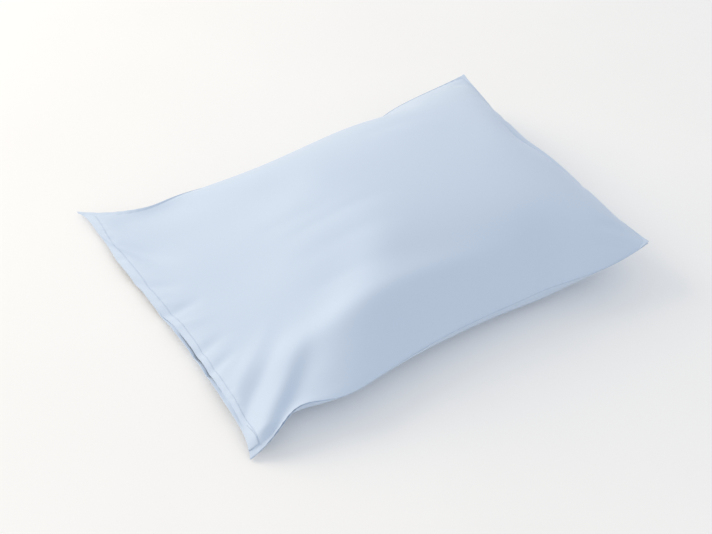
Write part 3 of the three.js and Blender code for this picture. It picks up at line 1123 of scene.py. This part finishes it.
def allowances(name, low_x, high_x, half_y, ends, material):
    """Strips beside the long seams and the ends of a sewn outline, as one piece."""
    inset = np.linspace(*ALLOWANCE, 5)
    x = np.linspace(low_x, high_x - ALLOWANCE[0], 150)
    y = np.linspace(-half_y + ALLOWANCE[1] + 0.0003, half_y - ALLOWANCE[1] - 0.0003, 90)
    strips = [flat_strip(x, side * (half_y - inset)[::side], ALLOWANCE_PLY) for side in (-1, 1)]
    strips += [flat_strip((end - way * inset)[::-way], y, ALLOWANCE_PLY) for end, way in ends]
    return report(layer_piece(name, strips, material))


case_allowance = allowances(
    "case_seam_allowance_cloth",
    low_x=-HALF_LENGTH + 0.014,
    high_x=HALF_LENGTH,
    half_y=HALF_WIDTH,
    ends=[(HALF_LENGTH, 1)],
    material=COTTON,
)

# %% Size tab
TAB_SIZE = (0.022, 0.016)
TAB_PLY = 0.0003
TAB_CORNER = np.array([0.017, 0.09]) - (HALF_LENGTH, HALF_WIDTH)


def size_tab():
    """A small tape on the inner face of the lower panel, curling up at its free end."""
    x = np.linspace(0, TAB_SIZE[0], 12)
    y = np.linspace(0, TAB_SIZE[1], 8)
    share = kept(x + TAB_CORNER[0], y + TAB_CORNER[1])
    face = case_surface(x / share[0] + TAB_CORNER[0], y / share[1] + TAB_CORNER[1], -1)
    curl = 0.0008 + 0.002 * np.linspace(0, 1, len(x))[:, None] ** 2
    lifted = face + normals(face) * curl[..., None]
    return cloth_piece("size_tab_tape", lifted, flat_places(x, y), TAPE, TAB_PLY)


tab = report(size_tab())

# %% [markdown]
# ## The pillow inside
#
# The pillow is read from the same two surfaces. At each of its flat places the gap between the
# panels is measured, and the ticking takes a share of it: nearly all of it inside, and none at
# the pillow's own seam. So it fills the case as a real pillow does, and clears it everywhere.

# %% Places on the pillow
PILLOW_EDGE_GAP = 0.010
PILLOW_END = HALF_LENGTH - PILLOW_EDGE_GAP
PILLOW_TAKE_UP = 0.985
PILLOW_START = PILLOW_END - PILLOW_FLAT[1] * PILLOW_TAKE_UP
PILLOW_HALF_WIDTH = HALF_WIDTH - PILLOW_EDGE_GAP
PILLOW_FULLNESS = 5
CASE_CLEARANCE = 0.0016
PILLOW_STEP = 0.0055
pillow_x = crowded(PILLOW_END - PILLOW_START, PILLOW_STEP) + (PILLOW_END + PILLOW_START) / 2
pillow_y = crowded(2 * PILLOW_HALF_WIDTH, PILLOW_STEP)


def pillow_surface(x, y, side, depth=0.0, share=1.0):
    """A face of the pillow: above (side 1) or below (side -1) the middle of the gap.

    It stands off the middle by half the gap, less the clearance and its own depth, times a
    fullness that falls to nothing at the pillow's seam, times a share.
    """
    u = (2 * x - PILLOW_END - PILLOW_START) / (PILLOW_END - PILLOW_START)
    v = y / PILLOW_HALF_WIDTH
    full = (1 - np.abs(u) ** PILLOW_FULLNESS)[:, None] * (1 - np.abs(v) ** PILLOW_FULLNESS)[None]
    lower = case_surface(x, y, -1, relief=False)
    half = (case_surface(x, y, 1, relief=False) - lower) / 2
    reach = np.linalg.norm(half, axis=-1)
    room = np.maximum(reach - CASE_CLEARANCE - depth, 0.0) / np.maximum(reach, 1e-6)
    return lower + half + side * half * (room * full * share)[..., None]


# %% Ticking
pillow_places = flat_places(pillow_x, pillow_y)
SEAM_PARTING = 0.0003
SEAM_REACH_INSIDE = 0.006


def ticking_panel(name, side):
    """A panel of striped ticking with puckers at its seams."""
    surface = pillow_surface(pillow_x, pillow_y, side)
    along, across = np.meshgrid(pillow_x, pillow_y, indexing="ij")
    from_side = PILLOW_HALF_WIDTH - np.abs(across)
    waves = puckers(from_side, along) * smooth(from_side / SEAM_REACH_INSIDE)
    surface += side * waves[..., None] * normals(surface)
    surface[..., 2] += side * SEAM_PARTING
    return cloth_piece(name, surface, pillow_places, TICKING, TICKING_PLY, flip=side < 0)


ticking_top = report(ticking_panel("ticking_top_cloth", 1))
ticking_bottom = report(ticking_panel("ticking_bottom_cloth", -1))


# %% Ticking's seam allowance and closing stitches
ticking_allowance = allowances(
    "ticking_seam_allowance_cloth",
    low_x=PILLOW_START + 0.0104,
    high_x=PILLOW_END - ALLOWANCE[1] + 0.0016,
    half_y=PILLOW_HALF_WIDTH,
    ends=[(PILLOW_START, -1), (PILLOW_END, 1)],
    material=TICKING,
)
CLOSING_HALF = 0.08


def closing_stitches():
    """A close row of hand stitches over the filling hole, at the end that faces the mouth."""
    x = PILLOW_START + np.array([0.004, 0.005, 0.006])
    y = np.linspace(-CLOSING_HALF, CLOSING_HALF, 60)
    centres, along, up = row_on(pillow_surface(x, y, 1), 0.0045)
    slant = unit(along + 0.8 * np.cross(along, up))
    lifted = centres + up * (SEAM_PARTING + 0.0002)
    return stitches("closing_stitches_thread", lifted, slant, up, WHITE_THREAD, 0.005, 0.0003)


closing = report(closing_stitches())

# %% Care label
LABEL_SIZE = (0.034, 0.026)
LABEL_PLACE = 0.16
LABEL_TAKE_UP = 0.93
LABEL_LIFT = 0.0016
label_run = np.linspace(0, 1, 24)
label_y = np.linspace(-LABEL_SIZE[1] / 2, LABEL_SIZE[1] / 2, 10) + LABEL_PLACE


def care_label():
    """Blank tape from the pillow's seam that falls to the lower cloth, with one soft bend."""
    x = PILLOW_START + 0.001 - LABEL_SIZE[0] * LABEL_TAKE_UP * label_run
    floor_face = case_surface(x[::-1], label_y, -1)[::-1]
    start = between(x[::-1], label_y)[::-1]
    fall = smooth(label_run * 1.1)[:, None, None]
    surface = start + fall * (floor_face + (0, 0, LABEL_LIFT) - start)
    return cloth_piece(
        "care_label_tape", surface, flat_places(x, label_y), TAPE, TAB_PLY, flip=True
    )


label = report(care_label())

# %% [markdown]
# ## The filling
#
# Polyester fibre comes as a loose core wrapped in two carded batts. They are thick soft layers
# between the same faces as the ticking, drawn in from its seams, with uneven lumps on them.

# %% Batts and core
TICKING_GAP = 0.0022
CORE_GAP = 0.0016
BATT_INSET = 0.022
CORE_INSET = 0.034
BATT_SHARE = 0.82


def lumps(x, y, size):
    """Soft uneven lumps: a sum of slanting waves with unlike lengths."""
    x, y = x[:, None], y[None, :]
    wave = np.sin(x * 71 + 2.1 * np.sin(y * 43)) + np.sin(y * 83 + 1.7 * np.sin(x * 57) + 1.0)
    wave = wave + 0.6 * np.sin(x * 139 - y * 121 + 0.5) + 0.4 * np.sin(x * 211 + y * 187)
    return size * (wave / 3 - 1)


def fibre_faces(inset, top, bottom):
    """Upper and lower faces of a fibre layer. Each is its side, depth and share, and its lumps."""
    x = np.linspace(PILLOW_START + inset, PILLOW_END - inset, 90)
    y = np.linspace(-PILLOW_HALF_WIDTH + inset, PILLOW_HALF_WIDTH - inset, 64)
    faces = []
    for side, depth, share, lump in (top, bottom):
        face = pillow_surface(x, y, side, depth, share)
        up = normals(face)
        faces.append(face + up * (side * lumps(x, y, lump))[..., None] if lump else face)
    return faces[0], faces[1], flat_places(x, y)


LUMP = 0.0008
CORE_DEPTH = TICKING_GAP + CORE_GAP


def fibre_piece(name, inset, top, bottom):
    """A layer of fibre as one closed piece."""
    return report(layer_piece(name, [fibre_faces(inset, top, bottom)], FIBRE))


outer = (TICKING_GAP, 1.0, LUMP)
inner = (TICKING_GAP, BATT_SHARE, 0)
core = (CORE_DEPTH, BATT_SHARE, LUMP)
fibre_batt_top = fibre_piece("fibre_batt_top_fill", BATT_INSET, (1, *outer), (1, *inner))
fibre_batt_bottom = fibre_piece("fibre_batt_bottom_fill", BATT_INSET, (-1, *inner), (-1, *outer))
fibre_core = fibre_piece("fibre_core_fill", CORE_INSET, (1, *core), (-1, *core))

# %% [markdown]
# ## Tying the pieces to the frame
#
# Each piece stands for one plain solid, whose stand-in is hidden, and rides on that solid's body. The
# table also names a slot for each piece, which nothing reads, so each piece keeps the finish it was
# made with. Every piece of the case is then given a mesh of its own.

# %% Stand-ins, bodies and slots
CASE_PIECES = {
    case_top: ("case_top_panel", "case_cotton"),
    case_bottom: ("case_bottom_panel", "case_cotton"),
    case_allowance: ("case_seam_allowance", "case_thread"),
    hem_top: ("mouth_hem_top", "case_cotton"),
    hem_bottom: ("mouth_hem_bottom", "case_cotton"),
    hem_stitching_top: ("hem_stitching_top", "case_thread"),
    hem_stitching_bottom: ("hem_stitching_bottom", "case_thread"),
    tab: ("size_tab", "label_tape"),
}
PILLOW_PIECES = {
    ticking_top: ("ticking_top", "ticking_cotton"),
    ticking_bottom: ("ticking_bottom", "ticking_cotton"),
    ticking_allowance: ("ticking_seam_allowance", "ticking_thread"),
    fibre_batt_top: ("fibre_batt_top", "polyester_fibre"),
    fibre_batt_bottom: ("fibre_batt_bottom", "polyester_fibre"),
    fibre_core: ("fibre_core", "polyester_fibre"),
    closing: ("closing_stitches", "ticking_thread"),
    label: ("care_label", "label_tape"),
}
for body, pieces in (("pillowcase", CASE_PIECES), ("pillow", PILLOW_PIECES)):
    for piece, (node, slot) in pieces.items():
        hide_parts(node)
        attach(piece, body)
print("pieces", len(CASE_PIECES) + len(PILLOW_PIECES))

# %% Each piece of the case gets a mesh of its own
for piece in CASE_PIECES:
    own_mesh(piece)
print("flattening pieces", len(CASE_PIECES))
